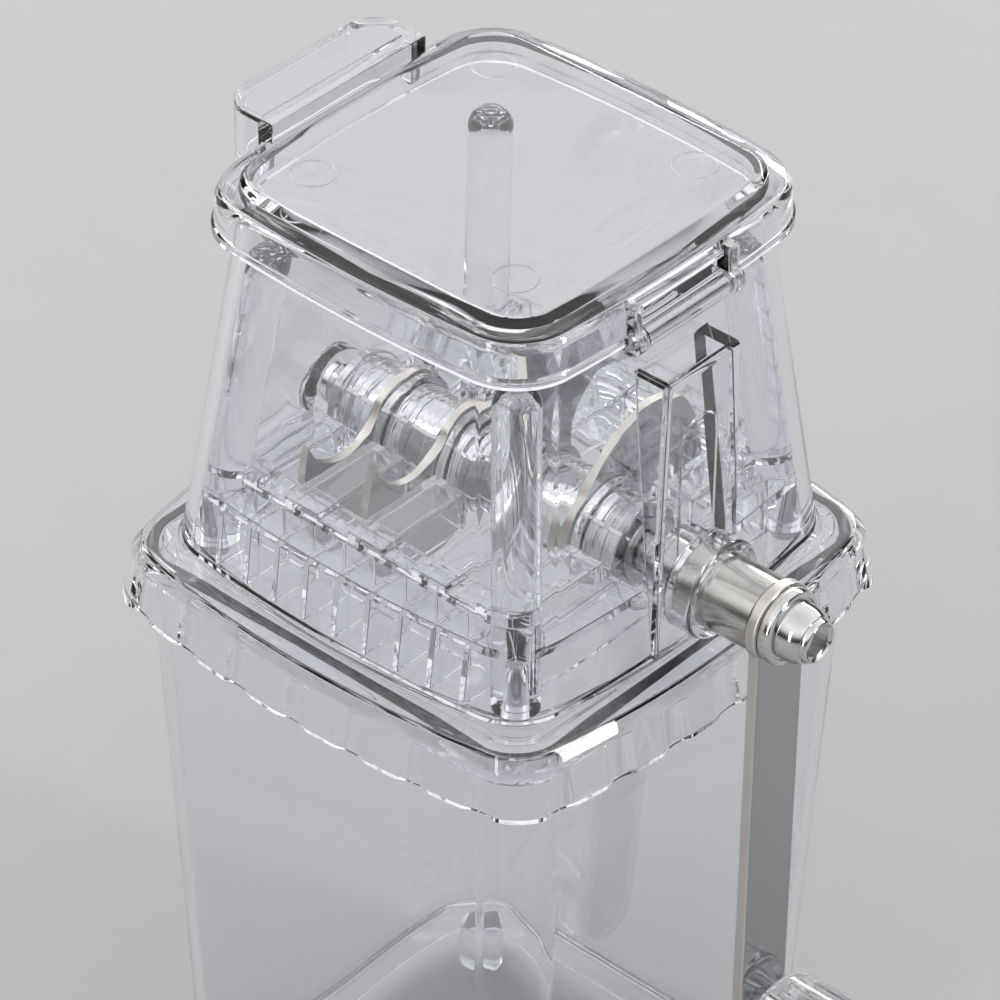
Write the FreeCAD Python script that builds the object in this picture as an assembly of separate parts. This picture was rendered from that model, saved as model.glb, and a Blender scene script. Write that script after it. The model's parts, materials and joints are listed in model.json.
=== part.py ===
import FreeCAD, Part
import math
import os

V = FreeCAD.Vector

# Hand-crank ice crusher. Millimetres, +Z up, origin on the table under the jar's centre.
# The crank is on +X, the front is -Y, the lid's hinge is on +X and its finger tab on -X.
# Outlines are square plans with bowed sides: "half" is the half width at mid-side,
# "bow" is how far mid-side stands out beyond the line of the corners, "corner" a radius.

# ---- jar ----
jar_rim_z = 180.7
jar_bottom_half = 53.0
jar_top_half = 59.9
jar_bow = 1.2
jar_corner = 13.0
jar_wall = 2.4
jar_edge_z = 4.5            # lower edge of the walls above the table
jar_floor_z = 16.3          # inside of the floor
jar_floor = 3.0             # thickness of the floor
foot_radius = 4.2
foot_round = 1.26
foot_inset = 2.5            # gap between a foot and the jar's wall

# ---- base flange ----
seat_gap = 0.3              # between the jar's rim and the deck resting over it
deck = 3.0                  # deck thickness
flange_half = 68.0          # at the skirt's lower edge
flange_bow = 8.0
flange_corner = 12.0
flange_flare = 2.4          # how much wider the skirt is at its foot than at its shoulder
flange_shoulder = 4.0       # rounding between deck and skirt
shoulder_step = 0.3         # where the rounding's middle lies, as a share of it
skirt_drop = 13.3           # skirt's lower edge below the deck's underside
skirt_wall = 2.2
spigot_gap = 0.8            # all round, inside the jar's mouth
spigot_wall = 2.0
spigot_depth = 9.0
spigot_draft = 0.4
throat_half_x = 42.5        # opening in the deck
throat_half_y = 38.0
throat_corner = 5.0
groove_width = 1.2
groove_depth = 0.7
groove_inset = 3.2          # outer groove to the shoulder
groove_pitch = 2.6
flute_pitch = 17.0          # flutes along the skirt
flute_width = 8.0
flute_depth = 0.9

# ---- housing ----
housing_height = 91.2       # deck to the hopper's rim
housing_foot_half = 56.3
housing_top_half = 45.6
housing_bow = 3.8
housing_corner = 14.4
housing_wall = 2.4
pad_half_width = 13.5       # flat bearing pad on the crank side, at its foot
pad_taper = 1.8             # how much nearer the middle each side is at the pad's top
pad_drop = 19.2             # pad's top below the hopper's rim
pad_proud = 0.7             # pad face beyond the foot of the wall
pad_round = 1.2             # along the pad's top edge
pocket_half_width = 6.0     # arched pocket inside the pad, above the bearing boss
pocket_height = 34.0        # from the boss up to the arch's crown
pocket_depth = 0.9
post_radius = 5.2
post_drop = 15.2            # post's top below the hopper's rim
post_gap = 0.15             # between a post and the housing's inner corner
bracket_root = 2.1          # hinge bracket's root inside the wall's outer face

# ---- corner screws ----
screw_radius = 1.75
screw_hole_gap = 0.2        # radial, through the deck
screw_head_radius = 3.4
screw_head_height = 2.2
screw_head_round = 0.8
screw_length = 14.0
cross_half_length = 2.2     # cross recess in the head
cross_half_width = 0.5
cross_depth = 0.8

# ---- throat frame and combs ----
ledge_height = 16.5         # ledge's upper face above the deck
ledge = 2.2
frame_wall = 2.2
frame_gap = 0.4             # between the ledge and the housing's wall
rib = 1.6
rib_pitch = 9.0
rib_drop = 1.0              # rib's top below the ledge's upper face
tooth_width = 10.0
tooth_wall = 1.8
tooth_depth = 9.5
tooth_above_ledge = 4.0
tooth_tip_gap = 3.0         # tooth to the spacer's rim
comb_bar = 2.4              # height of the bar the teeth stand on
comb_lip = 3.0              # bar beyond the frame's wall
comb_end = 0.5              # comb to the throat's ends
drum_gap = 1.0              # frame round the spacers
post_room = 0.5             # frame and combs round a post

# ---- drum ----
shaft_height = 15.5         # shaft axis above the deck
journal_radius = 3.5
running_gap = 0.05          # radial, shaft in bush and pin in ear
square_side = 7.4           # middle of the shaft, larger than the journals
square_trim = 0.66          # trimmed corner radius, as a share of the square's side
shaft_end_gap = 0.6         # shaft's end to the blind end of the far bush
bush_radius = 5.0
bush_length = 14.2
bush_in_wall = 0.5          # far bush's end inside the hopper wall
boss_radius = 9.0
boss_length = 9.0
end_float = 0.5             # drum to bush face
thrust_washer = 0.8
blade_pitch = 18.7
blade_thickness = 2.2
blade_reach = 33.3
blade_eye = 12.8
horn_tip = 21.0             # a blade's outline, in degrees from its horn's direction
horn_hollow = 0.67          # hollow of the leading edge, as a share of the reach
horn_hollow_angle = 7.0
horn_root = 52.0
back_end = -38.0
heel = 0.66                 # as a share of the reach
heel_angle = -72.0
heel_root = -118.0
blade_angles = (183.0, 176.0, 62.0, 4.0)   # horn directions, degrees from +Y towards +Z
spacer_rim = 12.0
spacer_waist = 10.3
spacer_rim_width = 2.4
spacer_slope = 0.8          # from rim to waist
thrust_washer_radius = 8.0

# ---- crank ----
sleeve_radius = 8.8
sleeve_gap = 0.8            # sleeve to the pad's face
sleeve_chamfer = 0.4
arm_gap = 10.0              # crank arm clear of the flange's skirt
collar_gap = 0.6            # radial, collar to sleeve
collar_wall = 2.4
collar_length = 7.5
collar_round = 1.0
arm_thickness = 3.0
arm_length = 112.0          # shaft axis to spindle axis
arm_eye = 9.5
arm_half_width = 7.8
arm_edge_round = 0.6
tang_side = 4.8
washer_radius = 8.8
washer_thickness = 1.2
bolt_flange = 9.0
bolt_flange_height = 2.0
bolt_flange_round = 1.2
bolt_dome = 7.6
bolt_dome_height = 7.2
bolt_round = 5.0
bolt_hex = 7.0              # across flats
bolt_hex_depth = 4.0
bolt_shank = 2.3
bolt_shank_length = 16.0
spindle_radius = 3.0
spindle_shoulder = 5.0
spindle_shoulder_length = 2.6
spindle_tail = 2.4          # riveted end in the arm
spindle_head = 4.6
spindle_head_height = 1.5
knob_radius = 13.0
knob_length = 36.0
knob_gap = 0.5
knob_recess = 5.2
knob_recess_depth = 4.0
knob_recess_gap = 0.3       # spindle's head to the recess's floor
knob_flutes = 24
knob_flute_radius = 1.1
knob_flute_out = 0.4        # a flute's axis beyond the knob's radius
knob_flute_end = 1.0        # flute's end to the grip's rounding
knob_round = 3.0
cap_radius = 8.5
cap_thickness = 1.6
cap_gap = 0.1
cap_round = 0.5

# ---- lid and hinge ----
lid_half = 49.9             # skirt, above the bead
lid_bow = 3.0
lid_corner = 16.0
lid_wall = 2.0
lid_draft = 0.4             # inside of the skirt
lid_roof = 2.2
lid_seat_gap = 0.3          # roof over the hopper's rim
lid_skirt = 9.2             # below the roof's underside
bead_proud = 0.5
bead_height = 1.8
bead_slope = 0.8            # from bead to skirt
shoulder_points = ((3.2, 0.2), (1.2, 1.2), (0.3, 3.2))    # below the roof's top, in from the skirt
panel_rise = 1.6            # raised flat panel
panel_inset = 5.8           # panel's foot in from the skirt
panel_slope = 3.4
panel_outline = (           # share of the slope, share of the rise, bow, corner taken off the lid's
    (0.0, 0.0, 1.0, 3.0),
    (0.5, 0.75, 0.7, 6.0),
    (1.0, 1.0, 0.5, 9.0),
)
corner_ease = 0.3           # how much the skirt's corner radius falls with its inset
tab_half_width = 24.5
tab_reach = 11.0            # beyond the skirt
tab_rise = 2.9              # above the panel
tab_drop = 10.0             # lip below the roof's top
tab_wall = 2.2
tab_root = 5.0              # hood's root inside the skirt
tab_skirt_gap = 0.2         # room under the hood to the skirt
tab_corner = 8.0
hinge_out = 0.3             # pin axis beyond the skirt's outer face
hinge_up = 0.7              # pin axis above the skirt's lower edge
knuckle_radius = 3.0
knuckle_half = 13.7
ear_gap = 0.4
ear_width = 3.0
ear_lip = 0.3               # ear's radius beyond the knuckle's
ear_reach = 1.2             # ear's upright beyond the pin's axis
ear_drop = 2.0              # ear's top below the roof's top
notch_in = 4.0              # notch in the lid's skirt, inwards and above the pin
notch_up = 6.0
pin_radius = 1.5
pin_overhang = 0.5

# ---- worked out from the values above ----
deck_under = jar_rim_z + seat_gap
deck_top = deck_under + deck
rim_z = deck_top + housing_height
shaft_z = deck_top + shaft_height
ledge_top = deck_top + ledge_height
pad_height = housing_height - pad_drop
post_height = housing_height - post_drop
pad_face = housing_foot_half + pad_proud
bush_in = pad_face - bush_length
boss_in = pad_face - boss_length
drum_half = bush_in - end_float - thrust_washer
frame_half_x = throat_half_x + frame_wall
frame_half_y = throat_half_y + frame_wall
sleeve_start = pad_face + sleeve_gap
arm_in = flange_half + arm_gap
arm_out = arm_in + arm_thickness
washer_out = arm_out + washer_thickness
spindle_z = shaft_z - arm_length
knob_start = arm_out + spindle_shoulder_length + knob_gap
knob_end = knob_start + knob_length
roof_under = rim_z + lid_seat_gap
roof_top = roof_under + lid_roof
skirt_foot = roof_under - lid_skirt
panel_top = roof_top + panel_rise
hinge_x = lid_half + hinge_out
hinge_z = skirt_foot + hinge_up
wide = 2.0 * flange_half    # beyond everything, for cutters
over = 1.0                  # how far a cutter runs past what it cuts
touch = 0.01                # slack when edges are picked by their place
post_run_past = 0.1         # leaning rods start this share of their length below the deck


# ---- helpers ----
def side_radius(half, bow):
    return (half * half + bow * bow) / (2.0 * bow)


def corner_centre(half, bow, corner):
    """Distance from each axis to the centre of a bowed square's corner arc."""
    back = side_radius(half, bow) - half
    inner = side_radius(half, bow) - corner
    return (-back + math.sqrt(2.0 * inner * inner - back * back)) / 2.0


def bowed_square(half, bow, corner, z):
    """Closed wire: four bowed sides and four corner arcs, all tangent."""
    side = side_radius(half, bow)
    back = side - half
    centre = corner_centre(half, bow, corner)
    end_x = -back + side * (centre + back) / (side - corner)
    end_y = side * centre / (side - corner)
    tip = centre + corner / math.sqrt(2.0)
    outline = [V(end_x, -end_y, z), V(half, 0, z), V(end_x, end_y, z), V(tip, tip, z), V(end_y, end_x, z)]
    edges = []
    for turn in range(4):
        spin = FreeCAD.Rotation(V(0, 0, 1), 90.0 * turn)
        start, middle, end, corner_middle, corner_end = [spin.multVec(p) for p in outline]
        edges.append(Part.Arc(start, middle, end).toShape())
        edges.append(Part.Arc(end, corner_middle, corner_end).toShape())
    return Part.Wire(edges)


def tower(sections):
    """Solid through a stack of bowed squares, given as (half, bow, corner, z)."""
    return Part.makeLoft([bowed_square(*s) for s in sections], True, True)


def box(x0, x1, y0, y1, z0, z1):
    return Part.makeBox(x1 - x0, y1 - y0, z1 - z0, V(x0, y0, z0))


def block(x, y, half_x, half_y, z0, z1):
    """Box whose plan is centred on (x, y)."""
    return box(x - half_x, x + half_x, y - half_y, y + half_y, z0, z1)


def rod(start, direction, radius, length):
    return Part.makeCylinder(radius, length, start, direction)


def rod_x(x0, x1, radius, y=0.0, z=0.0):
    return rod(V(x0, y, z), V(1, 0, 0), radius, x1 - x0)


def rod_y(y0, y1, radius, x, z):
    return rod(V(x, y0, z), V(0, 1, 0), radius, y1 - y0)


def rod_z(z0, z1, radius, x, y):
    return rod(V(x, y, z0), V(0, 0, 1), radius, z1 - z0)


def turned_x(profile, y, z):
    """Solid of revolution about an X axis from (x, radius) points."""
    points = [V(x, y + r, z) for x, r in profile]
    points.append(points[0])
    face = Part.Face(Part.makePolygon(points))
    return face.revolve(V(0, y, z), V(1, 0, 0), 360)


def upright_edges(shape):
    return [e for e in shape.Edges if abs(e.tangentAt(e.FirstParameter).z) > 0.999]


def edges_after(shape, x):
    """Edges no nearer the far side than x."""
    return [e for e in shape.Edges if e.BoundBox.XMin > x - touch]


def edges_across_x(shape):
    """Edges lying in a plane square to the X axis."""
    return [e for e in shape.Edges if e.BoundBox.XLength < touch]


def at_corners(x, y):
    return [(sx * x, sy * y) for sx in (-1, 1) for sy in (-1, 1)]


def group(solids):
    return Part.makeCompound(solids)


def save(name, shape):
    solids = shape.Solids
    kept = solids[0] if len(solids) == 1 else Part.makeCompound(solids)
    kept.exportStep("parts/" + name + ".step")
    print(name, len(solids), "solid(s)", round(kept.Volume / 1000.0, 2), "cm3", kept.isValid())


def diagonal(half, bow, corner):
    """Distance from the axis to a bowed square's rounded corner."""
    return corner_centre(half, bow, corner) * math.sqrt(2.0) + corner


def blend(a, b, share):
    return a + (b - a) * share


# ---- jar ----
def jar_half(z):
    return blend(jar_bottom_half, jar_top_half, (z - jar_edge_z) / (jar_rim_z - jar_edge_z))


def jar_plan(z, inset=0.0):
    return (jar_half(z) - inset, jar_bow, jar_corner - inset, z)


def ice_container():
    outside = tower([jar_plan(jar_edge_z), jar_plan(jar_rim_z)])
    inside = tower([jar_plan(jar_floor_z, jar_wall), jar_plan(jar_rim_z + over, jar_wall)])
    below = tower([jar_plan(0.0, jar_wall), jar_plan(jar_floor_z - jar_floor, jar_wall)])
    return outside.cut(inside).cut(below)


def container_feet():
    top = jar_floor_z - jar_floor
    reach = diagonal(jar_half(jar_edge_z) - jar_wall, jar_bow, jar_corner - jar_wall)
    place = (reach - foot_inset - foot_radius) / math.sqrt(2.0)
    feet = []
    for x, y in at_corners(place, place):
        foot = rod_z(0.0, top, foot_radius, x, y)
        lower = [e for e in foot.Edges if e.BoundBox.ZMax < touch]
        feet.append(foot.makeFillet(foot_round, lower))
    return group(feet)


# ---- base flange ----
def flange_plan(z, inset=0.0):
    share = (z - (deck_under - skirt_drop)) / (skirt_drop + deck)
    return (flange_half - flange_flare * share - inset, flange_bow, flange_corner, z)


def skirt_flutes():
    """Shallow upright flutes round the skirt, as thin rods laid along its sides."""
    foot = deck_under - skirt_drop
    top = deck_top - flange_shoulder
    side = side_radius(flange_half, flange_bow)
    count = int((flange_half - flange_corner) / flute_pitch)
    radius = side_radius(flute_width / 2.0, flute_depth)
    rods = []
    for turn in range(4):
        spin = FreeCAD.Rotation(V(0, 0, 1), 90.0 * turn)
        for i in range(-count, count + 1):
            a = i * flute_pitch / side
            out = side + radius - flute_depth
            foot_at = V(out * math.cos(a) - side + flange_half, out * math.sin(a), foot - over)
            lean = V(-flange_flare, 0, skirt_drop + deck)
            rods.append(rod(spin.multVec(foot_at), spin.multVec(lean), radius, top - foot + over))
    return rods


def base_flange():
    foot = deck_under - skirt_drop
    shoulder_z = deck_top - flange_shoulder
    slope = flange_shoulder * shoulder_step
    outside = tower([
        flange_plan(foot),
        flange_plan(shoulder_z),
        flange_plan(deck_top - slope, slope),
        flange_plan(deck_top, flange_shoulder),
    ])
    inside = tower([flange_plan(foot - over, skirt_wall), flange_plan(deck_under, skirt_wall)])
    body = outside.cut(inside).cut(skirt_flutes())
    ring_top = jar_half(jar_rim_z) - jar_wall - spigot_gap
    ring_foot = ring_top - spigot_draft
    corner = jar_corner - jar_wall - spigot_gap
    ring = tower([
        (ring_foot, jar_bow, corner, deck_under - spigot_depth),
        (ring_top, jar_bow, corner, deck_under),
    ])
    hole = tower([
        (ring_foot - spigot_wall, jar_bow, corner - spigot_wall, deck_under - spigot_depth - over),
        (ring_top - spigot_wall, jar_bow, corner - spigot_wall, deck_under),
    ])
    body = body.fuse(ring.cut(hole))
    throat = block(0.0, 0.0, throat_half_x, throat_half_y, deck_under - over, deck_top + over)
    body = body.cut(throat.makeFillet(throat_corner, upright_edges(throat)))
    for i in range(2):
        inset = flange_shoulder + groove_inset + groove_pitch * i
        outer = flange_plan(deck_top, inset)[:3]
        inner = flange_plan(deck_top, inset + groove_width)[:3]
        ring = tower([outer + (deck_top - groove_depth,), outer + (deck_top + over,)])
        core = tower([inner + (deck_top - groove_depth - over,), inner + (deck_top + 2.0 * over,)])
        body = body.cut(ring.cut(core))
    screw = screw_place()
    hole = screw_radius + screw_hole_gap
    holes = [rod_z(deck_under - over, deck_top + over, hole, x, y) for x, y in at_corners(screw, screw)]
    return body.cut(holes).removeSplitter()


# ---- housing ----
def housing_half(z):
    return blend(housing_foot_half, housing_top_half, (z - deck_top) / housing_height)


def housing_plan(z, inset=0.0):
    return (housing_half(z) - inset, housing_bow, housing_corner - inset, z)


def post_line():
    """Foot and top of a corner post's axis, as distances along the diagonal."""
    margin = post_radius + post_gap
    foot = diagonal(*housing_plan(deck_top, housing_wall)[:3]) - margin
    top = diagonal(*housing_plan(deck_top + post_height, housing_wall)[:3]) - margin
    return foot / math.sqrt(2.0), top / math.sqrt(2.0)


def screw_place():
    return post_line()[0]


def pad_block(face, foot, top, inset):
    """Upright block of the bearing pad: its sides lean in towards the top."""
    low = pad_half_width - inset
    high = pad_half_width - pad_taper - inset
    points = [V(0, -low, foot), V(0, low, foot), V(0, high, top), V(0, -high, top), V(0, -low, foot)]
    return Part.Face(Part.makePolygon(points)).extrude(V(face, 0, 0))


def pad_pocket():
    """Arched pocket in the pad's inner face, above the boss."""
    face = pad_face - housing_wall
    crown = shaft_z + boss_radius + pocket_height - pocket_half_width
    sides = box(face - over, face + pocket_depth, -pocket_half_width, pocket_half_width, shaft_z, crown)
    arch = rod_x(face - over, face + pocket_depth, pocket_half_width, z=crown)
    return sides.fuse(arch)


def crusher_housing():
    pad_top = deck_top + pad_height
    pad = pad_block(pad_face, deck_top, pad_top, 0.0)
    rims = [e for e in edges_after(pad, pad_face) if e.BoundBox.ZMin > pad_top - touch]
    pad = pad.makeFillet(pad_round, rims)
    hollow = pad_block(pad_face - housing_wall, deck_top - over, pad_top - housing_wall, housing_wall)
    outside = tower([housing_plan(deck_top), housing_plan(rim_z)]).fuse(pad)
    inside = tower([housing_plan(deck_top - over, housing_wall), housing_plan(rim_z + over, housing_wall)])
    shell = outside.cut(inside.fuse([hollow, pad_pocket()]))
    boss_near = rod_x(boss_in, pad_face, boss_radius, z=shaft_z)
    boss_far = rod_x(-housing_foot_half, -boss_in, boss_radius, z=shaft_z).common(outside)
    bracket = box(housing_half(hinge_z) - bracket_root, hinge_x, -knuckle_half, knuckle_half,
                  hinge_z - knuckle_radius, hinge_z + knuckle_radius)
    knuckle = rod_y(-knuckle_half, knuckle_half, knuckle_radius, hinge_x, hinge_z)
    shell = shell.fuse([boss_near, boss_far, bracket, knuckle])
    near_bore = rod_x(bush_in - over, pad_face + over, bush_radius, z=shaft_z)
    far_bore = rod_x(-bush_in - bush_far_length(), -bush_in + over, bush_radius, z=shaft_z)
    pin_bore = rod_y(-knuckle_half - over, knuckle_half + over, pin_radius, hinge_x, hinge_z)
    return shell.cut([near_bore, far_bore, pin_bore]).removeSplitter()


def bush_far_length():
    """The far bush is blind: it stops short of the wall's outer face."""
    return housing_half(shaft_z) - housing_wall - bush_in + bush_in_wall


def corner_posts():
    foot, top = post_line()
    posts = []
    for sx, sy in at_corners(1, 1):
        low = V(sx * foot, sy * foot, deck_top)
        high = V(sx * top, sy * top, deck_top + post_height - post_radius)
        axis = high.sub(low)
        post = rod(low.sub(axis * post_run_past), axis, post_radius, axis.Length * (1.0 + post_run_past))
        post = post.fuse(Part.makeSphere(post_radius, high))
        floor = block(0.0, 0.0, wide, wide, deck_top - wide, deck_top)
        pilot = rod_z(deck_top - over, deck_under + screw_length + over, screw_radius, sx * foot, sy * foot)
        posts.append(post.cut(floor).cut(pilot).removeSplitter())
    return group(posts)


def corner_screws():
    place = screw_place()
    screws = []
    for x, y in at_corners(place, place):
        head = rod_z(deck_under - screw_head_height, deck_under, screw_head_radius, x, y)
        low = deck_under - screw_head_height
        head = head.makeFillet(screw_head_round, [e for e in head.Edges if e.BoundBox.ZMax < low + touch])
        one = block(x, y, cross_half_length, cross_half_width, low - over, low + cross_depth)
        other = block(x, y, cross_half_width, cross_half_length, low - over, low + cross_depth)
        shank = rod_z(deck_under, deck_under + screw_length, screw_radius, x, y)
        screws.append(head.cut([one, other]).fuse(shank).removeSplitter())
    return group(screws)


# ---- throat frame and combs ----
def post_clearance():
    """Room round each corner post."""
    foot, top = post_line()
    rods = []
    for sx, sy in at_corners(1, 1):
        low = V(sx * foot, sy * foot, deck_top)
        axis = V(sx * top, sy * top, deck_top + post_height - post_radius).sub(low)
        rods.append(rod(low.sub(axis * post_run_past), axis, post_radius + post_room,
                        axis.Length * (1.0 + post_run_past)))
    return rods


def crusher_frame():
    inset = housing_wall + frame_gap
    far = housing_foot_half
    plate = block(0.0, 0.0, far, far, ledge_top - ledge, ledge_top)
    walls = block(0.0, 0.0, frame_half_x, frame_half_y, deck_top, ledge_top)
    ribs = []
    count = int((frame_half_x - rib) / rib_pitch)
    for i in range(-count, count + 1):
        ribs.append(block(i * rib_pitch, 0.0, rib / 2.0, far, deck_top, ledge_top - rib_drop))
    within = tower([housing_plan(deck_top - over, inset), housing_plan(ledge_top + over, inset)])
    throat = block(0.0, 0.0, throat_half_x, throat_half_y, deck_top - over, ledge_top + over)
    body = plate.fuse([walls] + ribs).common(within).cut(throat)
    room = spacer_rim + drum_gap
    drum = rod_x(-far, far, room, z=shaft_z)
    above = block(0.0, 0.0, far, room, shaft_z, ledge_top + over)
    return body.cut([drum, above] + post_clearance()).removeSplitter()


def comb(side):
    """Fixed teeth between the blades; side is -1 for the front and +1 for the rear."""
    tip = spacer_rim + tooth_tip_gap
    root = throat_half_y - comb_end
    end = throat_half_x - comb_end
    top = ledge_top + tooth_above_ledge
    outer = frame_half_y + comb_lip
    bar = box(-end, end, root - tooth_wall, outer, ledge_top, ledge_top + comb_bar)
    solids = [bar]
    hollows = []
    half = tooth_width / 2.0
    room = half - tooth_wall
    foot = top - tooth_depth
    for i in range(-2, 3):
        x = i * blade_pitch
        if abs(x) + half > end:
            x = math.copysign(end - half, x)
        solids.append(box(x - half, x + half, tip, root, foot, top))
        solids.append(box(x - half, x + half, root - tooth_wall, outer, ledge_top, top))
        inside = box(x - room, x + room, tip + tooth_wall, root - tooth_wall, foot - over, top - tooth_wall)
        hollows.append(inside)
    body = solids[0].fuse(solids[1:]).cut(hollows + post_clearance()).removeSplitter()
    if side < 0:
        body.rotate(V(0, 0, 0), V(0, 0, 1), 180)
    return body


def shaft_collar():
    inner = sleeve_radius + collar_gap
    tube = rod_x(pad_face, pad_face + collar_length, inner + collar_wall, z=shaft_z)
    tube = tube.makeFillet(collar_round, edges_after(tube, pad_face + collar_length))
    return tube.cut(rod_x(pad_face - over, pad_face + collar_length + over, inner, z=shaft_z))


# ---- drum ----
def square_bar(x0, x1, side):
    half = side / 2.0
    return box(x0, x1, -half, half, shaft_z - half, shaft_z + half)


def trimmed_square(x0, x1):
    return square_bar(x0, x1, square_side).common(rod_x(x0, x1, square_side * square_trim, z=shaft_z))


def drive_shaft():
    far_end = -bush_in - bush_far_length() + shaft_end_gap
    round_bar = rod_x(far_end, arm_in, journal_radius, z=shaft_z)
    middle = trimmed_square(-drum_half, drum_half)
    tang = square_bar(arm_in - over, arm_out, tang_side)
    bolt_hole = rod_x(washer_out - bolt_shank_length, arm_out + over, bolt_shank, z=shaft_z)
    return round_bar.fuse([middle, tang]).cut(bolt_hole).removeSplitter()


def spacer_spans():
    stops = [-drum_half]
    for i in range(4):
        x = (i - 1.5) * blade_pitch
        stops.extend([x - blade_thickness / 2, x + blade_thickness / 2])
    stops.append(drum_half)
    return list(zip(stops[0::2], stops[1::2]))


def spacer(x0, x1):
    rim = spacer_rim_width
    waist = rim + spacer_slope
    profile = [(x0, 0.0), (x0, spacer_rim), (x0 + rim, spacer_rim), (x0 + waist, spacer_waist),
               (x1 - waist, spacer_waist), (x1 - rim, spacer_rim), (x1, spacer_rim), (x1, 0.0)]
    return turned_x(profile, 0.0, shaft_z).cut(trimmed_square(x0 - over, x1 + over))


def blade(index):
    """Flat hooked blade: a round eye, one horn with a hollow leading edge, a full back."""
    x0 = (index - 1.5) * blade_pitch - blade_thickness / 2

    def polar(radius, degrees):
        a = math.radians(degrees)
        return V(x0, -radius * math.cos(a), shaft_z + radius * math.sin(a))

    tip = polar(blade_reach, horn_tip)
    front = polar(blade_eye, horn_root)
    back = polar(blade_reach, back_end)
    rear = polar(blade_eye, heel_root)
    edges = [
        Part.Arc(front, polar(blade_reach * horn_hollow, horn_hollow_angle), tip).toShape(),
        Part.Arc(tip, polar(blade_reach, (horn_tip + back_end) / 2.0), back).toShape(),
        Part.Arc(back, polar(blade_reach * heel, heel_angle), rear).toShape(),
        Part.Arc(rear, polar(blade_eye, (horn_root + heel_root) / 2.0 + 180.0), front).toShape(),
    ]
    body = Part.Face(Part.Wire(edges)).extrude(V(blade_thickness, 0, 0))
    body.rotate(V(0, 0, shaft_z), V(1, 0, 0), blade_angles[index] - 180.0)
    return body.cut(trimmed_square(x0 - over, x0 + blade_thickness + over))


def thrust_washers():
    rings = []
    for x0 in (-drum_half - thrust_washer, drum_half):
        x1 = x0 + thrust_washer
        ring = rod_x(x0, x1, thrust_washer_radius, z=shaft_z)
        rings.append(ring.cut(rod_x(x0 - over, x1 + over, journal_radius, z=shaft_z)))
    return group(rings)


def bush(x0, x1):
    body = rod_x(x0, x1, bush_radius, z=shaft_z)
    return body.cut(rod_x(x0 - over, x1 + over, journal_radius + running_gap, z=shaft_z))


# ---- crank ----
def shaft_sleeve():
    tube = rod_x(sleeve_start, arm_in, sleeve_radius, z=shaft_z)
    tube = tube.makeChamfer(sleeve_chamfer, edges_across_x(tube))
    return tube.cut(rod_x(sleeve_start - over, arm_in + over, journal_radius, z=shaft_z))


def crank_arm():
    eye = rod_x(arm_in, arm_out, arm_eye, z=shaft_z)
    foot = rod_x(arm_in, arm_out, arm_half_width, z=spindle_z)
    bar = box(arm_in, arm_out, -arm_half_width, arm_half_width, spindle_z, shaft_z)
    body = eye.fuse([foot, bar]).removeSplitter()
    body = body.makeFillet(arm_edge_round, edges_across_x(body))
    rivet = rod_x(arm_in - over, arm_out + over, spindle_tail, z=spindle_z)
    return body.cut([square_bar(arm_in - over, arm_out + over, tang_side), rivet])


def crank_washer():
    ring = rod_x(arm_out, washer_out, washer_radius, z=shaft_z)
    return ring.cut(rod_x(arm_out - over, washer_out + over, bolt_shank, z=shaft_z))


def hexagon(x0, x1, across):
    radius = across / math.sqrt(3.0)
    points = []
    for i in range(7):
        a = math.radians(60.0 * i)
        points.append(V(x0, radius * math.cos(a), shaft_z + radius * math.sin(a)))
    return Part.Face(Part.makePolygon(points)).extrude(V(x1 - x0, 0, 0))


def crank_bolt():
    flange_end = washer_out + bolt_flange_height
    flange = rod_x(washer_out, flange_end, bolt_flange, z=shaft_z)
    flange = flange.makeFillet(bolt_flange_round, edges_after(flange, flange_end))
    end = flange_end + bolt_dome_height
    dome = rod_x(washer_out, end, bolt_dome, z=shaft_z)
    dome = dome.makeFillet(bolt_round, edges_after(dome, end))
    shank = rod_x(washer_out - bolt_shank_length, flange_end, bolt_shank, z=shaft_z)
    recess = hexagon(end - bolt_hex_depth, end + over, bolt_hex)
    return flange.fuse([dome, shank]).cut(recess).removeSplitter()


def knob_spindle():
    seat = arm_out + spindle_shoulder_length
    head = knob_end - knob_recess_depth
    profile = [
        (arm_in, 0.0), (arm_in, spindle_tail), (arm_out, spindle_tail), (arm_out, spindle_shoulder),
        (seat, spindle_shoulder), (seat, spindle_radius), (head, spindle_radius), (head, spindle_head),
        (head + spindle_head_height, spindle_head), (head + spindle_head_height, 0.0),
    ]
    return turned_x(profile, 0.0, spindle_z)


def grip_knob():
    body = rod_x(knob_start, knob_end, knob_radius, z=spindle_z)
    body = body.makeFillet(knob_round, edges_across_x(body))
    flutes = []
    out = knob_radius + knob_flute_out
    ends = knob_round + knob_flute_end
    for i in range(knob_flutes):
        a = 2.0 * math.pi * i / knob_flutes
        y = out * math.cos(a)
        z = spindle_z + out * math.sin(a)
        flutes.append(rod_x(knob_start + ends, knob_end - ends, knob_flute_radius, y, z))
    bore = rod_x(knob_start - over, knob_end, spindle_radius + running_gap, z=spindle_z)
    recess = rod_x(knob_end - knob_recess_depth - knob_recess_gap, knob_end, knob_recess, z=spindle_z)
    seat = rod_x(knob_end - cap_thickness, knob_end + over, cap_radius + cap_gap, z=spindle_z)
    return body.cut(flutes + [bore, recess, seat])


def knob_cap():
    cap = rod_x(knob_end - cap_thickness, knob_end, cap_radius, z=spindle_z)
    return cap.makeFillet(cap_round, edges_after(cap, knob_end))


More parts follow.
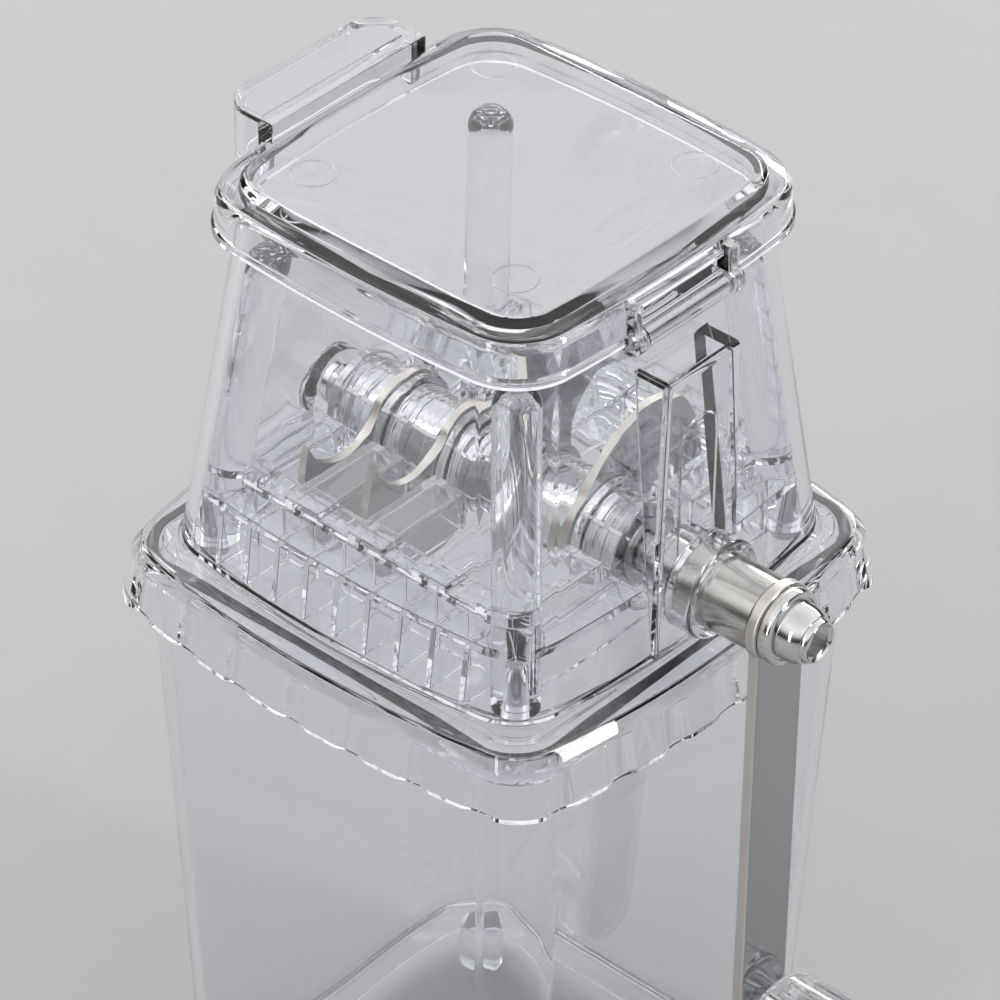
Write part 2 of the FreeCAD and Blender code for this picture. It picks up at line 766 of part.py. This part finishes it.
# ---- lid ----
def hood_block(inset, root, foot):
    """The tab's hood, or the room under it: far corners rounded, inset from the hood's faces."""
    edge = -lid_half
    outer = edge - tab_reach + inset
    half = tab_half_width - inset
    body = box(outer, edge + root, -half, half, foot, panel_top + tab_rise - inset)
    far = [e for e in upright_edges(body) if e.BoundBox.XMax < outer + touch]
    return body.makeFillet(tab_corner - inset, far)


def lid_plan(z, inset=0.0):
    return (lid_half - inset, lid_bow, lid_corner - max(inset, 0.0) * corner_ease, z)


def lid_outside():
    sections = [
        lid_plan(skirt_foot, -bead_proud),
        lid_plan(skirt_foot + bead_height, -bead_proud),
        lid_plan(skirt_foot + bead_height + bead_slope),
    ]
    for down, inset in shoulder_points:
        sections.append(lid_plan(roof_top - down, inset))
    panel_foot = lid_half - panel_inset
    for slope, rise, bow, corner in panel_outline:
        half = panel_foot - panel_slope * slope
        sections.append((half, bow, lid_corner - corner, roof_top + panel_rise * rise))
    return tower(sections)


def lid_cover():
    """Lid with its raised panel, the tab's hood and two ears for the hinge pin."""
    lip = roof_top - tab_drop
    hood = hood_block(0.0, tab_root, lip)
    room = hood_block(tab_wall, -tab_skirt_gap, lip - over)
    ears = []
    ear_in = knuckle_half + ear_gap
    for side in (-1, 1):
        y0 = min(side * ear_in, side * (ear_in + ear_width))
        y1 = y0 + ear_width
        ears.append(rod_y(y0, y1, knuckle_radius + ear_lip, hinge_x, hinge_z))
        ears.append(box(lid_half - lid_wall, hinge_x + ear_reach, y0, y1, hinge_z, roof_top - ear_drop))
    wall = lid_half - lid_wall
    notch = box(wall - notch_in, wide, -ear_in, ear_in, skirt_foot - over, hinge_z + notch_up)
    inside = tower([
        (wall, lid_bow, lid_corner - lid_wall, skirt_foot - over),
        (wall, lid_bow, lid_corner - lid_wall, skirt_foot),
        (wall - lid_draft, lid_bow, lid_corner - lid_wall, roof_under),
    ])
    body = lid_outside().fuse([hood] + ears).cut([room, inside, notch])
    ear_out = ear_in + ear_width + over
    pin_bore = rod_y(-ear_out, ear_out, pin_radius + running_gap, hinge_x, hinge_z)
    return body.cut(pin_bore).removeSplitter()


def hinge_pin():
    reach = knuckle_half + ear_gap + ear_width + pin_overhang
    return rod_y(-reach, reach, pin_radius, hinge_x, hinge_z)


def main():
    os.makedirs("parts", exist_ok=True)
    save("ice_container", ice_container())
    save("container_feet", container_feet())
    save("base_flange", base_flange())
    save("crusher_housing", crusher_housing())
    save("corner_posts", corner_posts())
    save("corner_screws", corner_screws())
    save("crusher_frame", crusher_frame())
    save("comb_front", comb(-1))
    save("comb_rear", comb(1))
    save("shaft_collar", shaft_collar())
    save("bush_crank_side", bush(bush_in, pad_face))
    save("bush_far_side", bush(-bush_in - bush_far_length(), -bush_in))
    save("hinge_pin", hinge_pin())
    save("drive_shaft", drive_shaft())
    for number, span in enumerate(spacer_spans(), 1):
        save("spacer_" + str(number), spacer(*span))
    for index in range(4):
        save("blade_" + str(index + 1), blade(index))
    save("thrust_washers", thrust_washers())
    save("shaft_sleeve", shaft_sleeve())
    save("crank_arm", crank_arm())
    save("crank_washer", crank_washer())
    save("crank_bolt", crank_bolt())
    save("knob_spindle", knob_spindle())
    save("grip_knob", grip_knob())
    save("knob_cap", knob_cap())
    save("lid_cover", lid_cover())


main()
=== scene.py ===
import json
import math

import bmesh
import bpy
from mathutils import Matrix, Vector


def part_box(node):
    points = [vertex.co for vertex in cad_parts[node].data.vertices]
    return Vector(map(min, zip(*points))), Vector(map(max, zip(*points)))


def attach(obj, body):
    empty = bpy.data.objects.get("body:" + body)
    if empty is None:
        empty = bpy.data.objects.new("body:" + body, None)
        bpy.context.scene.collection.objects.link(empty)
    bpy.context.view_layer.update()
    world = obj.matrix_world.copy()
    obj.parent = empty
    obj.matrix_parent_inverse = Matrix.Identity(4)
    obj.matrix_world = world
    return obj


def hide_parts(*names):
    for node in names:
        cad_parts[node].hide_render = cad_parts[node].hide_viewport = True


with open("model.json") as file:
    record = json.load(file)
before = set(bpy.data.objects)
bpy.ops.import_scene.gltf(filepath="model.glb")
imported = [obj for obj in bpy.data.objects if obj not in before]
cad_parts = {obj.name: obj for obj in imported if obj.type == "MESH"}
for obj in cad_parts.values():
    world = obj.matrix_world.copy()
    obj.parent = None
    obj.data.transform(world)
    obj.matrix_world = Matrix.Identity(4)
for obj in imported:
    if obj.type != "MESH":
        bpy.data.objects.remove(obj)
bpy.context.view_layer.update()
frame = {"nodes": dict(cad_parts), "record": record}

# Hand-crank ice crusher. Metres, +Z up, the crank on +X, the front -Y.
mm = 0.001

# ---- camera ----
camera_azimuth = 41.35      # degrees round from the front towards the crank
camera_elevation = 37.17
camera_roll = 0.78
camera_distance = 1.2703
camera_lens = 205.8         # millimetres
camera_sensor = 36.0
camera_clip = (0.05, 20.0)  # metres, nearest and farthest
camera_aim = Vector((0.0, 0.0, 0.19095))

# ---- studio ----
sky = ((0.0, 0.05), (0.22, 0.12), (0.45, 0.95), (0.7, 1.25), (1.0, 0.9))     # height, brightness
sky_tint = (0.985, 0.99, 1.0)
floor_grey = 0.34
floor_grain = 0.02          # lighter and darker patches in the paper, as a share
floor_grain_scale = 40.0
floor_roughness = 0.8
floor_half = 15.0           # metres
softbox_aim = (0.0, 0.0, 0.18)
softboxes = (               # name, place, width and height in metres, watts
    ("left", (-1.1, -0.25, 0.75), 0.22, 1.1, 9.0),
    ("back", (-0.35, 1.25, 0.75), 1.3, 0.2, 9.0),
    ("right", (1.25, 0.45, 0.6), 0.16, 1.0, 7.0),
    ("front", (0.1, -1.3, 0.55), 0.12, 0.9, 3.0),
)

# ---- materials ----
plastic_ior = 1.53
haze_scale = 55.0           # noise scales are per metre
haze_share = (0.5, 1.6)     # roughness in clear and in hazy patches, as a share of the mean
haze_range = (0.35, 0.7)    # part of the noise that is spread over that
flow_scale = 26.0
flow_strength = 0.1
flow_depth = 0.0008
steel_mark_scale = 900.0
steel_mark_depth = 0.00002
steel_patch_scale = 60.0
steel_dark_share = 0.86     # darker patches, as a share of the colour
steel_rough_share = (0.6, 1.6)
steel_mark_share = (0.7, 1.3)       # fine marks' weight in dark and in light patches
noise_range = (0.3, 0.7)
face_roughness = 0.07       # mirror faces and matt ground edges
edge_roughness = 0.38
edge_turn = (0.55, 0.9)     # how squarely a surface faces along X, from all edge to all face; this also sets where the painted dark reflection lies
edge_mark_stretch = (9.0, 1.0, 1.0)
edge_mark_strength = 0.12

# ---- pieces ----
eased_edges = {             # moulded and ground edges rounded off, in millimetres
    "ice_container": 0.6, "base_flange": 0.24, "crusher_housing": 0.3, "crusher_frame": 0.22,
    "comb_front": 0.3, "comb_rear": 0.3, "lid_cover": 0.25, "shaft_collar": 0.25,
    "corner_posts": 0.2, "container_feet": 0.2,
    "blade_1": 0.12, "blade_2": 0.12, "blade_3": 0.12, "blade_4": 0.12,
    "crank_washer": 0.2, "knob_cap": 0.2,
}
eased_segments = 2
weld = 0.001                # millimetres, vertices of the CAD mesh that are one
air_gap = 0.02              # millimetres a moulded piece stands back from what it touches
gap_reach = 2.0             # a sharp corner stands back at most this many gaps
flats_weight = 80
spacers = ("spacer_1", "spacer_2", "spacer_3", "spacer_4", "spacer_5")
shaft_square = 7.4          # middle of the shaft
shaft_trim = 0.66           # its trimmed corners' radius, as a share of the square
spacer_rim_depth = 1.7      # rim above the waist
spacer_rim_width = 2.4
spacer_ridge = 0.04         # fine ridges round a spacer's waist
spacer_ridge_pitch = 1.7
spacer_ridge_points = 8     # along each ridge
spacer_round = 0.45
arc_steps = 5
turned_segments = 96
bolt_shank = 2.28
bolt_shank_chamfer = 0.4
bolt_hex = 7.0              # recess, across flats
bolt_recess = 4.0
bolt_lip_drop = 0.45
bolt_lip_wall = 0.15        # between the lip's inner edge and the recess's corners
bolt_recess_chamfer = 0.3
bolt_outline = (            # place from the washer's face, radius
    (0.01, 2.28), (0.01, 8.7), (0.3, 8.98), (1.0, 8.98), (1.6, 8.7), (1.95, 8.1), (1.98, 7.5), (1.6, 7.3),
    (1.6, 7.0), (2.2, 6.95), (3.4, 6.95), (5.0, 6.75), (6.3, 6.35), (7.3, 5.85), (7.7, 5.55), (7.75, 5.3),
    (8.3, 5.2), (8.9, 5.0), (9.14, 4.75), (9.2, 4.5),
)
tab_above_panel = 2.9       # millimetres from here on
mark_place = 28.8           # lid's ring marks, from the middle
mark_radius = 5.0
mark_thickness = 0.16
mark_segments = 64
mark_section = 8
sharp_angle = 32.0          # degrees between faces at an edge that gets rounded
coplanar_angle = 0.5


# ---- helpers ----
def place_camera():
    az = math.radians(camera_azimuth)
    el = math.radians(camera_elevation)
    roll = math.radians(camera_roll)
    back = Vector((math.sin(az) * math.cos(el), -math.cos(az) * math.cos(el), math.sin(el)))
    level = Vector((math.cos(az), math.sin(az), 0.0))
    upright = back.cross(level)
    right = level * math.cos(roll) + upright * math.sin(roll)
    up = upright * math.cos(roll) - level * math.sin(roll)
    data = bpy.data.cameras.new("camera")
    data.lens = camera_lens
    data.sensor_width = camera_sensor
    data.clip_start, data.clip_end = camera_clip
    cam = bpy.data.objects.new("camera", data)
    place = camera_aim + back * camera_distance
    turn = Matrix((right, up, back)).transposed().to_4x4()
    cam.matrix_world = Matrix.Translation(place) @ turn
    bpy.context.scene.collection.objects.link(cam)
    bpy.context.scene.camera = cam


def new_material(name):
    mat = bpy.data.materials.new(name)
    mat.use_nodes = True
    tree = mat.node_tree
    shader = tree.nodes["Principled BSDF"]
    return mat, tree, shader


def add_node(tree, kind, **values):
    node = tree.nodes.new(kind)
    for key, value in values.items():
        if hasattr(node, key):
            setattr(node, key, value)
        else:
            node.inputs[key.replace("_", " ")].default_value = value
    return node


def object_coordinates(tree, scale=(1.0, 1.0, 1.0)):
    coords = add_node(tree, "ShaderNodeTexCoord")
    mapping = add_node(tree, "ShaderNodeMapping")
    mapping.inputs["Scale"].default_value = scale
    tree.links.new(coords.outputs["Object"], mapping.inputs["Vector"])
    return mapping.outputs["Vector"]


def noise(tree, vector, scale, detail=3.0, roughness=0.5, distortion=0.0):
    node = add_node(tree, "ShaderNodeTexNoise", Scale=scale, Detail=detail, Roughness=roughness,
                    Distortion=distortion)
    tree.links.new(vector, node.inputs["Vector"])
    return node.outputs["Fac"]


def remap(tree, value, low, high, from_low=0.0, from_high=1.0):
    node = add_node(tree, "ShaderNodeMapRange")
    node.inputs["From Min"].default_value = from_low
    node.inputs["From Max"].default_value = from_high
    node.inputs["To Min"].default_value = low
    node.inputs["To Max"].default_value = high
    tree.links.new(value, node.inputs["Value"])
    return node.outputs["Result"]


def bump(tree, shader, height, strength, distance):
    node = add_node(tree, "ShaderNodeBump", Strength=strength, Distance=distance)
    tree.links.new(height, node.inputs["Height"])
    tree.links.new(node.outputs["Normal"], shader.inputs["Normal"])


def colour_mix(tree, shader, factor, one, other):
    """Base colour that runs from one to the other."""
    mix = add_node(tree, "ShaderNodeMix", data_type="RGBA")
    mix.inputs["A"].default_value = tuple(one) + (1.0,)
    mix.inputs["B"].default_value = tuple(other) + (1.0,)
    tree.links.new(factor, mix.inputs["Factor"])
    tree.links.new(mix.outputs["Result"], shader.inputs["Base Color"])


def clear_plastic(name, tint, roughness):
    """Moulded clear plastic: faint flow waves and a few hazy patches."""
    mat, tree, shader = new_material(name)
    shader.inputs["Base Color"].default_value = tint + (1.0,)
    shader.inputs["Transmission Weight"].default_value = 1.0
    shader.inputs["IOR"].default_value = plastic_ior
    vector = object_coordinates(tree)
    haze = noise(tree, vector, haze_scale, detail=4.0, roughness=0.6)
    low, high = (roughness * share for share in haze_share)
    tree.links.new(remap(tree, haze, low, high, *haze_range), shader.inputs["Roughness"])
    waves = noise(tree, vector, flow_scale, detail=1.5, roughness=0.4, distortion=0.3)
    bump(tree, shader, waves, flow_strength, flow_depth)
    return mat


def metal(name, colour, roughness, stretch, scratch):
    """Polished or turned steel: fine marks drawn out along one direction."""
    mat, tree, shader = new_material(name)
    shader.inputs["Metallic"].default_value = 1.0
    fine = noise(tree, object_coordinates(tree, stretch), steel_mark_scale, detail=2.0, roughness=0.6)
    broad = noise(tree, object_coordinates(tree), steel_patch_scale, detail=4.0, roughness=0.6)
    patches = remap(tree, broad, 0.0, 1.0, *noise_range)
    colour_mix(tree, shader, patches, [c * steel_dark_share for c in colour], colour)
    both = add_node(tree, "ShaderNodeMath", operation="MULTIPLY")
    tree.links.new(fine, both.inputs[0])
    tree.links.new(remap(tree, broad, *steel_mark_share, *noise_range), both.inputs[1])
    low, high = (roughness * share for share in steel_rough_share)
    tree.links.new(remap(tree, both.outputs["Value"], low, high, *noise_range), shader.inputs["Roughness"])
    bump(tree, shader, fine, scratch, steel_mark_depth)
    return mat


def ground_steel_painted_reflection(name, face, edge):
    """Flat stainless: mirror faces square to X, edges left matt by the grinding. The faces square to X
    also get a darker base colour, a painted dark reflection, while the edges keep a lighter warm tone.
    """
    mat, tree, shader = new_material(name)
    shader.inputs["Metallic"].default_value = 1.0
    coords = add_node(tree, "ShaderNodeTexCoord")
    split = add_node(tree, "ShaderNodeSeparateXYZ")
    tree.links.new(coords.outputs["Normal"], split.inputs["Vector"])
    across = add_node(tree, "ShaderNodeMath", operation="ABSOLUTE")
    tree.links.new(split.outputs["X"], across.inputs[0])
    on_edge = remap(tree, across.outputs["Value"], 1.0, 0.0, *edge_turn)
    # painted reflection: the base colour runs from the darker face colour, which stands in for dark
    # surroundings mirrored in the faces square to X, to the edges' own lighter, warm ground tone
    colour_mix(tree, shader, on_edge, face, edge)
    tree.links.new(remap(tree, on_edge, face_roughness, edge_roughness), shader.inputs["Roughness"])
    marks = object_coordinates(tree, edge_mark_stretch)
    fine = noise(tree, marks, steel_mark_scale, detail=2.0, roughness=0.6)
    bump(tree, shader, fine, edge_mark_strength, steel_mark_depth)
    return mat


def build_materials():
    """One look for each slot, and the nodes that have a look of their own."""
    made = {
        "clear_plastic": clear_plastic("clear_plastic_look", (0.965, 0.968, 0.985), 0.02),
        "frosted_plastic": clear_plastic("frosted_plastic_look", (0.93, 0.94, 0.96), 0.12),
        "grip_plastic": clear_plastic("grip_plastic_look", (0.93, 0.94, 0.95), 0.06),
        "steel_hardware": metal("steel_hardware_look", (0.62, 0.62, 0.63), 0.22, (1.0, 9.0, 9.0), 0.2),
        # blade: the darker first colour is a painted dark reflection on the mirror faces; the lighter warm
        # second colour is the ground edges' tone
        "blade_steel": ground_steel_painted_reflection("blade_steel_look", (0.5, 0.5, 0.51), (0.82, 0.77, 0.7)),
        "polished_steel": metal("polished_steel_look", (0.7, 0.7, 0.695), 0.05, (9.0, 9.0, 1.0), 0.1),
    }
    own = {
        "shaft_sleeve": metal("sleeve_look", (0.64, 0.62, 0.58), 0.15, (0.3, 6.0, 6.0), 0.06),
        # arm and washer: the first colour is a painted dark reflection on the mirror faces, the second the
        # ground edges' tone
        "crank_arm": ground_steel_painted_reflection("arm_look", (0.42, 0.42, 0.43), (0.74, 0.7, 0.64)),
        "crank_washer": ground_steel_painted_reflection("washer_look", (0.5, 0.5, 0.5), (0.7, 0.66, 0.6)),
    }
    return made, own


def dress_nodes(looks):
    """Every CAD node that stays gets its material."""
    for name, obj in frame["nodes"].items():
        for material_slot in obj.material_slots:
            material_slot.material = looks[name]


# ---- pieces ----
def body_of(node):
    for name, nodes in frame["record"]["behaviour"]["bodies"].items():
        if node in nodes:
            return name
    raise KeyError(node)


def stand_for(piece, node, material):
    """The piece takes the CAD node's place, body and slot."""
    piece.data.materials.append(material)
    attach(piece, body_of(node))
    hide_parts(node)


def new_piece(name, bm):
    for face in bm.faces:
        face.smooth = True
    mesh = bpy.data.meshes.new(name)
    bm.to_mesh(mesh)
    bm.free()
    piece = bpy.data.objects.new(name, mesh)
    bpy.context.scene.collection.objects.link(piece)
    return piece


def level_flats(piece, keep_sharp):
    """Shading that stays flat on broad faces and turns only in the roundings."""
    level = piece.modifiers.new("flats", "WEIGHTED_NORMAL")
    level.mode = "FACE_AREA"
    level.weight = flats_weight
    level.keep_sharp = keep_sharp


def eased(node, width):
    """The node's own shape with every sharp edge rounded off."""
    source = frame["nodes"][node].data
    bm = bmesh.new()
    verts = [bm.verts.new(v.co) for v in source.vertices]
    for poly in source.polygons:
        bm.faces.new([verts[i] for i in poly.vertices])
    bmesh.ops.remove_doubles(bm, verts=bm.verts, dist=weld * mm)
    bmesh.ops.dissolve_degenerate(bm, dist=weld * mm, edges=bm.edges)
    flat = math.radians(coplanar_angle)
    bmesh.ops.dissolve_limit(bm, angle_limit=flat, verts=bm.verts, edges=bm.edges)
    bm.normal_update()
    inward = [v.normal * min(v.calc_shell_factor(), gap_reach) * air_gap * mm for v in bm.verts]
    for v, step in zip(bm.verts, inward):
        v.co -= step
    piece = new_piece(node + "_eased", bm)
    bevel = piece.modifiers.new("rounding", "BEVEL")
    bevel.width = width * mm
    bevel.segments = eased_segments
    bevel.limit_method = "ANGLE"
    bevel.angle_limit = math.radians(sharp_angle)
    bevel.use_clamp_overlap = False
    level_flats(piece, False)
    return piece


def ring_mark(name, place):
    """Thin raised circle that an ejector pin leaves in a moulding."""
    bm = bmesh.new()
    rings = []
    for i in range(mark_segments):
        a = 2.0 * math.pi * i / mark_segments
        ring = []
        for j in range(mark_section):
            b = 2.0 * math.pi * j / mark_section
            r = mark_radius + mark_thickness * math.cos(b)
            point = Vector((r * math.cos(a), r * math.sin(a), mark_thickness * math.sin(b)))
            ring.append(bm.verts.new(place + point * mm))
        rings.append(ring)
    for ring, after in zip(rings, rings[1:] + rings[:1]):
        for j in range(mark_section):
            k = (j + 1) % mark_section
            bm.faces.new((ring[j], after[j], after[k], ring[k]))
    bmesh.ops.recalc_face_normals(bm, faces=bm.faces)
    return new_piece(name, bm)


def lid_marks(material):
    """Four rings on the lid's panel, which lies lower than its tab."""
    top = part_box("lid_cover")[1].z - tab_above_panel * mm
    for i, (sx, sy) in enumerate(((-1, -1), (-1, 1), (1, -1), (1, 1)), 1):
        place = Vector((sx * mark_place * mm, sy * mark_place * mm, top))
        piece = ring_mark("lid_mark_%d" % i, place)
        piece.data.materials.append(material)
        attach(piece, "lid")


def turned(name, rows, axis_z, bored):
    """Turned about an X axis. A row is a place along it and a radius, or a radius for each angle."""
    bm = bmesh.new()
    rings = []
    for x, radius in rows:
        ring = []
        for i in range(turned_segments):
            a = 2.0 * math.pi * i / turned_segments
            r = radius(a) if callable(radius) else radius
            ring.append(bm.verts.new((x, r * math.cos(a), axis_z + r * math.sin(a))))
        rings.append(ring)
    pairs = list(zip(rings, rings[1:]))
    if bored:
        pairs.append((rings[-1], rings[0]))
    for one, two in pairs:
        for i in range(turned_segments):
            j = (i + 1) % turned_segments
            bm.faces.new((one[i], one[j], two[j], two[i]))
    if not bored:
        for ring, row in ((rings[0], rows[0]), (rings[-1], rows[-1])):
            middle = bm.verts.new((row[0], 0.0, axis_z))
            for i in range(turned_segments):
                bm.faces.new((middle, ring[i], ring[(i + 1) % turned_segments]))
    bmesh.ops.recalc_face_normals(bm, faces=bm.faces)
    for edge in bm.edges:
        edge.smooth = edge.calc_face_angle(0.0) < math.radians(sharp_angle)
    piece = new_piece(name, bm)
    level_flats(piece, True)
    return piece


def rounding(x, r, start, end):
    """Points of a spacer's rounding about (x, r), from one direction to another in degrees."""
    points = []
    for i in range(arc_steps + 1):
        a = math.radians(start + (end - start) * i / arc_steps)
        points.append((x + spacer_round * math.cos(a), r + spacer_round * math.sin(a)))
    return points


def spacer_profile(x0, x1, rim):
    """Outline of a ribbed spacer: rounded rims, fine ridges round the waist."""
    length = (x1 - x0) / mm
    waist = rim - spacer_rim_depth
    flat = spacer_rim_width - spacer_round
    start = spacer_rim_width + spacer_round
    end = rounding(spacer_round, rim - spacer_round, 180.0, 90.0)
    end += rounding(flat, rim - spacer_round, 90.0, 0.0)
    end += rounding(start, waist + spacer_round, 180.0, 270.0)[:-1]
    span = length - 2.0 * start
    ridges = max(1, round(span / spacer_ridge_pitch))
    count = ridges * spacer_ridge_points
    middle = []
    for i in range(count + 1):
        wave = math.sin(math.pi * ridges * i / count) ** 2
        middle.append((start + span * i / count, waist + spacer_ridge * wave))
    mirrored = [(length - x, r) for x, r in reversed(end)]
    return [(x0 + x * mm, r * mm) for x, r in end + middle + mirrored]


def ribbed_spacer(node):
    low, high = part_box(node)
    rim = (high.z - low.z) / 2.0 / mm - air_gap
    rows = spacer_profile(low.x + air_gap * mm, high.x - air_gap * mm, rim)
    half = (shaft_square / 2.0 + air_gap) * mm
    trim = (shaft_square * shaft_trim + air_gap) * mm

    def bore(a):
        return min(half / max(abs(math.cos(a)), abs(math.sin(a))), trim)

    rows += [(rows[-1][0], bore), (rows[0][0], bore)]
    return turned(node + "_ribbed", rows, (low.z + high.z) / 2.0, True)


def detailed_bolt():
    """Domed bolt with a flange, a groove at the dome's root, a raised lip and a hex recess."""
    low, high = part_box("crank_bolt")
    seat = high.x - bolt_outline[-1][0] * mm
    lip = high.x - bolt_lip_drop * mm
    lip_radius = bolt_hex / math.sqrt(3.0) + bolt_lip_wall

    def hexagon(a):
        turn = (a + math.pi / 6.0) % (math.pi / 3.0) - math.pi / 6.0
        return bolt_hex / 2.0 * mm / math.cos(turn)

    rows = [(low.x, (bolt_shank - bolt_shank_chamfer) * mm),
            (low.x + bolt_shank_chamfer * mm, bolt_shank * mm)]
    rows += [(seat + x * mm, r * mm) for x, r in bolt_outline]
    rows += [(lip, lip_radius * mm), (lip - bolt_recess_chamfer * mm, hexagon)]
    rows.append((high.x - bolt_recess * mm, hexagon))
    return turned("crank_bolt_detailed", rows, (low.z + high.z) / 2.0, False)


# ---- studio ----
def floor():
    mesh = bpy.data.meshes.new("floor")
    corners = [(x * floor_half, y * floor_half, 0.0) for x, y in ((-1, -1), (1, -1), (1, 1), (-1, 1))]
    mesh.from_pydata(corners, [], [(0, 1, 2, 3)])
    obj = bpy.data.objects.new("floor", mesh)
    bpy.context.scene.collection.objects.link(obj)
    mat, tree, shader = new_material("floor_paper")
    grain = noise(tree, object_coordinates(tree), floor_grain_scale, detail=3.0, roughness=0.6)
    dark = floor_grey * (1.0 - floor_grain)
    light = floor_grey * (1.0 + floor_grain)
    cool = floor_grey * floor_grain / 2.0
    colour_mix(tree, shader, grain, (dark, dark, dark + cool), (light, light, light + cool))
    shader.inputs["Roughness"].default_value = floor_roughness
    mesh.materials.append(mat)


def softbox(name, place, width, height, power):
    data = bpy.data.lights.new(name, "AREA")
    data.shape = "RECTANGLE"
    data.size = width
    data.size_y = height
    data.energy = power
    obj = bpy.data.objects.new(name, data)
    direction = Vector(softbox_aim) - Vector(place)
    turn = direction.to_track_quat("-Z", "Y").to_matrix().to_4x4()
    obj.matrix_world = Matrix.Translation(place) @ turn
    bpy.context.scene.collection.objects.link(obj)


def studio():
    floor()
    world = bpy.data.worlds.new("studio")
    world.use_nodes = True
    tree = world.node_tree
    coords = add_node(tree, "ShaderNodeTexCoord")
    split = add_node(tree, "ShaderNodeSeparateXYZ")
    ramp = add_node(tree, "ShaderNodeValToRGB")
    tree.links.new(coords.outputs["Generated"], split.inputs["Vector"])
    tree.links.new(split.outputs["Z"], ramp.inputs["Fac"])
    tree.links.new(ramp.outputs["Color"], tree.nodes["Background"].inputs["Color"])
    stops = ramp.color_ramp.elements
    while len(stops) < len(sky):
        stops.new(0.5)
    for stop, (height, level) in zip(stops, sky):
        stop.position = height
        stop.color = tuple(level * share for share in sky_tint) + (1.0,)
    bpy.context.scene.world = world
    for row in softboxes:
        softbox(*row)


place_camera()
studio()
bpy.context.scene.view_settings.view_transform = "Standard"
slots = {row["node"]: row["material_slot"] for row in frame["record"]["subparts"]}
slot_looks, own_looks = build_materials()
looks = {node: own_looks.get(node, slot_looks[slot]) for node, slot in slots.items()}
dress_nodes(looks)
for node, width in eased_edges.items():
    stand_for(eased(node, width), node, looks[node])
for node in spacers:
    stand_for(ribbed_spacer(node), node, looks[node])
stand_for(detailed_bolt(), "crank_bolt", looks["crank_bolt"])
lid_marks(looks["lid_cover"])
cycles = bpy.context.scene.cycles
cycles.max_bounces = 28
cycles.transmission_bounces = 28
cycles.glossy_bounces = 8
cycles.caustics_reflective = False
cycles.caustics_refractive = True      # lets the sky reach the floor through the clear jar
cycles.sample_clamp_indirect = 3.0
